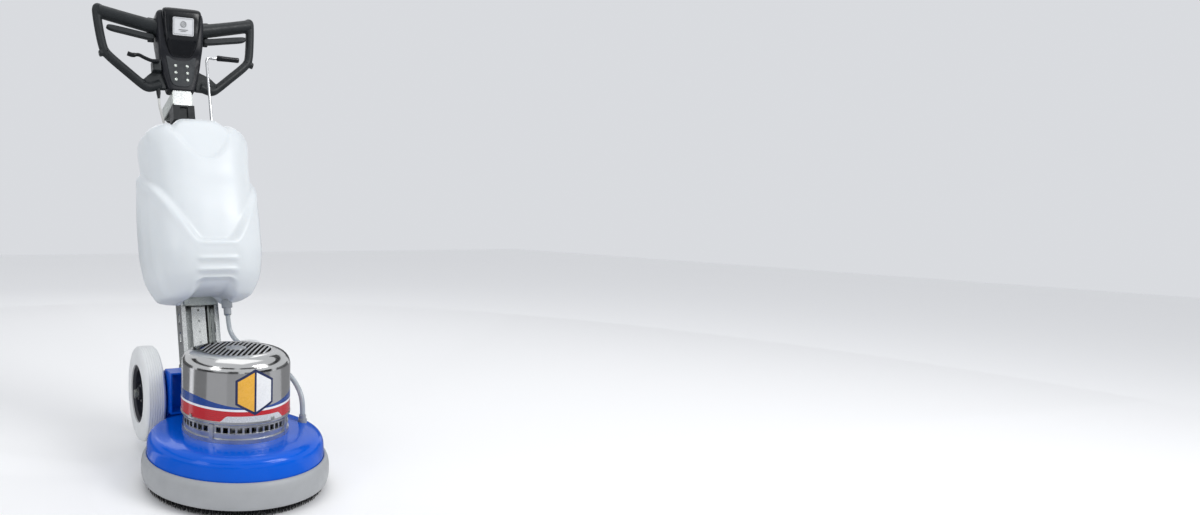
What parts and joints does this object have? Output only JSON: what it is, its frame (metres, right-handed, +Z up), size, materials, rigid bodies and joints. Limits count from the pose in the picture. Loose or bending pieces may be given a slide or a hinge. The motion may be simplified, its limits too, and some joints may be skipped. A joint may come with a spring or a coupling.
{
  "type": "single-disc floor scrubber",
  "caption": "Upright rotary floor scrubber: round brush under a bumpered deck, domed motor cover, transport wheels, tilting column with solution tank, and a handle head with guard bars.",
  "frame": {"origin": "bottom centre of the machine's box, on the floor under it", "axes": "+Z up, +Y towards the operator, +X to the right seen from the front of the deck"},
  "size_m": [0.52, 0.8663, 1.2654],
  "materials": {
    "deck_paint": "gloss blue paint",
    "bumper_rubber": "satin grey vinyl",
    "cover_chrome": "polished",
    "cast_aluminium": "satin",
    "channel_metal": "brushed",
    "zinc_steel": "zinc plated",
    "machine_steel": "ground",
    "laminations": "stacked laminations and windings",
    "rod_chrome": "plated rod with a black sleeve",
    "black_plastic": "fine grain",
    "hub_plastic": "moulded",
    "brush_black": "moulded block and bristles",
    "bristle_white": "stiff bristles",
    "red_plastic": "gloss",
    "tank_poly": "milky blow moulding",
    "cap_plastic": "moulded",
    "grey_plastic": "fine grain",
    "label": "satin printed plate",
    "tyre_rubber": "pale non-marking rubber",
    "foot_rubber": "matt",
    "hose_vinyl": "clear vinyl",
    "cable_jacket": "pale jacket"
  },
  "bodies": {
    "chassis": {"deck": "deck_paint", "bumper_ring": "bumper_rubber", "deck_inlet": "grey_plastic", "rear_frame": "deck_paint", "sector_plates": "zinc_steel", "pivot_tube": "zinc_steel", "motor_base_ring": "cast_aluminium", "motor_cover": "cover_chrome", "motor_screws": "zinc_steel", "motor_frame": "cast_aluminium", "stator": "laminations", "drive_bearings": "machine_steel", "gearbox_housing": "cast_aluminium", "gearbox_lid": "cast_aluminium", "ring_gear": "machine_steel", "axle_bolts": "zinc_steel", "solution_hose": "hose_vinyl"},
    "brush": {"planet_carrier": "machine_steel", "drive_boss": "brush_black", "brush_block": "brush_black", "brush_centre_ring": "red_plastic", "bristles_outer": "brush_black", "bristles_inner": "bristle_white"},
    "rotor": {"rotor_shaft": "machine_steel", "rotor_core": "laminations", "cooling_fan": "black_plastic"},
    "planet_1": {"planet_gear_1": "machine_steel"},
    "planet_2": {"planet_gear_2": "machine_steel"},
    "planet_3": {"planet_gear_3": "machine_steel"},
    "wheel_left": {"tyre_left": "tyre_rubber", "wheel_hub_left": "hub_plastic"},
    "wheel_right": {"tyre_right": "tyre_rubber", "wheel_hub_right": "hub_plastic"},
    "column": {"column_channel": "channel_metal", "column_inner_plate": "channel_metal", "upper_tube": "channel_metal", "sleeve_block": "black_plastic", "foot_cover": "black_plastic", "tank_brackets": "zinc_steel", "control_box": "grey_plastic", "control_box_lid": "grey_plastic", "rest_bracket": "zinc_steel", "rest_foot": "foot_rubber", "head_cover": "black_plastic", "head_rear_cover": "black_plastic", "head_label_plate": "label", "head_screws": "zinc_steel", "handlebar_left": "black_plastic", "handlebar_right": "black_plastic", "cable_gland": "black_plastic", "control_cable": "cable_jacket", "tank_shell": "tank_poly", "tank_outlet": "grey_plastic"},
    "switch_left": {"switch_lever_left": "black_plastic"},
    "switch_right": {"switch_lever_right": "black_plastic"},
    "tilt_release": {"tilt_lever": "black_plastic"},
    "lock": {"lock_rod": "zinc_steel"},
    "solution_control": {"solution_rod": "rod_chrome"},
    "cap": {"tank_cap": "cap_plastic"},
    "start_button": {"interlock_button": "red_plastic"}
  },
  "joints": [
    {"name": "brush_spin", "type": "hinge", "parent": "chassis", "child": "brush", "pos_m": [0, -0.208, 0.06], "axis": [0, 0, 1], "continuous": true},
    {"name": "motor_spin", "type": "hinge", "parent": "chassis", "child": "rotor", "pos_m": [0, -0.208, 0.2], "axis": [0, 0, 1], "continuous": true},
    {"name": "planet_1_spin", "type": "hinge", "parent": "brush", "child": "planet_1", "pos_m": [0, -0.172, 0.109], "axis": [0, 0, 1], "continuous": true},
    {"name": "planet_2_spin", "type": "hinge", "parent": "brush", "child": "planet_2", "pos_m": [-0.03118, -0.226, 0.109], "axis": [0, 0, 1], "continuous": true},
    {"name": "planet_3_spin", "type": "hinge", "parent": "brush", "child": "planet_3", "pos_m": [0.03118, -0.226, 0.109], "axis": [0, 0, 1], "continuous": true},
    {"name": "wheel_left_spin", "type": "hinge", "parent": "chassis", "child": "wheel_left", "pos_m": [-0.152, 0.086, 0.154], "axis": [1, 0, 0], "continuous": true},
    {"name": "wheel_right_spin", "type": "hinge", "parent": "chassis", "child": "wheel_right", "pos_m": [0.152, 0.086, 0.154], "axis": [1, 0, 0], "continuous": true},
    {"name": "handle_tilt", "type": "hinge", "parent": "chassis", "child": "column", "pos_m": [0, 0.054, 0.152], "axis": [-1, 0, 0], "range_deg": [-16, 52], "deforming": ["solution_hose"]},
    {"name": "switch_left_pull", "type": "hinge", "parent": "column", "child": "switch_left", "pos_m": [-0.084, 0.32419, 1.16684], "axis": [0, 0.9613, -0.2756], "range_deg": [0, 8], "stiffness_Nm_per_rad": 0.4, "springref_deg": -17.19},
    {"name": "switch_right_pull", "type": "hinge", "parent": "column", "child": "switch_right", "pos_m": [0.084, 0.32419, 1.16684], "axis": [0, -0.9613, 0.2756], "range_deg": [0, 8], "stiffness_Nm_per_rad": 0.4, "springref_deg": -17.19},
    {"name": "tilt_lever_lift", "type": "hinge", "parent": "column", "child": "tilt_release", "pos_m": [-0.078, 0.28786, 1.09091], "axis": [0, 0.9613, -0.2756], "range_deg": [0, 20]},
    {"name": "lock_rod_lift", "type": "slide", "parent": "column", "child": "lock", "axis": [0, 0.2756, 0.9613], "range_m": [0, 0.01], "stiffness_N_per_m": 300, "springref_m": -0.01},
    {"name": "solution_rod_lift", "type": "slide", "parent": "column", "child": "solution_control", "axis": [0, 0.2756, 0.9613], "range_m": [0, 0.018]},
    {"name": "tank_cap_turn", "type": "hinge", "parent": "column", "child": "cap", "pos_m": [0, 0.19164, 0.88235], "axis": [0, 0.2756, 0.9613], "range_deg": [0, 90]},
    {"name": "start_button_press", "type": "slide", "parent": "column", "child": "start_button", "axis": [0, -0.9613, 0.2756], "range_m": [0, 0.004], "stiffness_N_per_m": 400, "springref_m": -0.001}
  ],
  "couplings": [
    {"joint": "motor_spin", "follows": "brush_spin", "ratio": 8},
    {"joint": "planet_1_spin", "follows": "brush_spin", "ratio": -2.3333},
    {"joint": "planet_2_spin", "follows": "brush_spin", "ratio": -2.3333},
    {"joint": "planet_3_spin", "follows": "brush_spin", "ratio": -2.3333},
    {"joint": "tilt_lever_lift", "follows": "lock_rod_lift", "rad_per_m": 34.907}
  ]
}
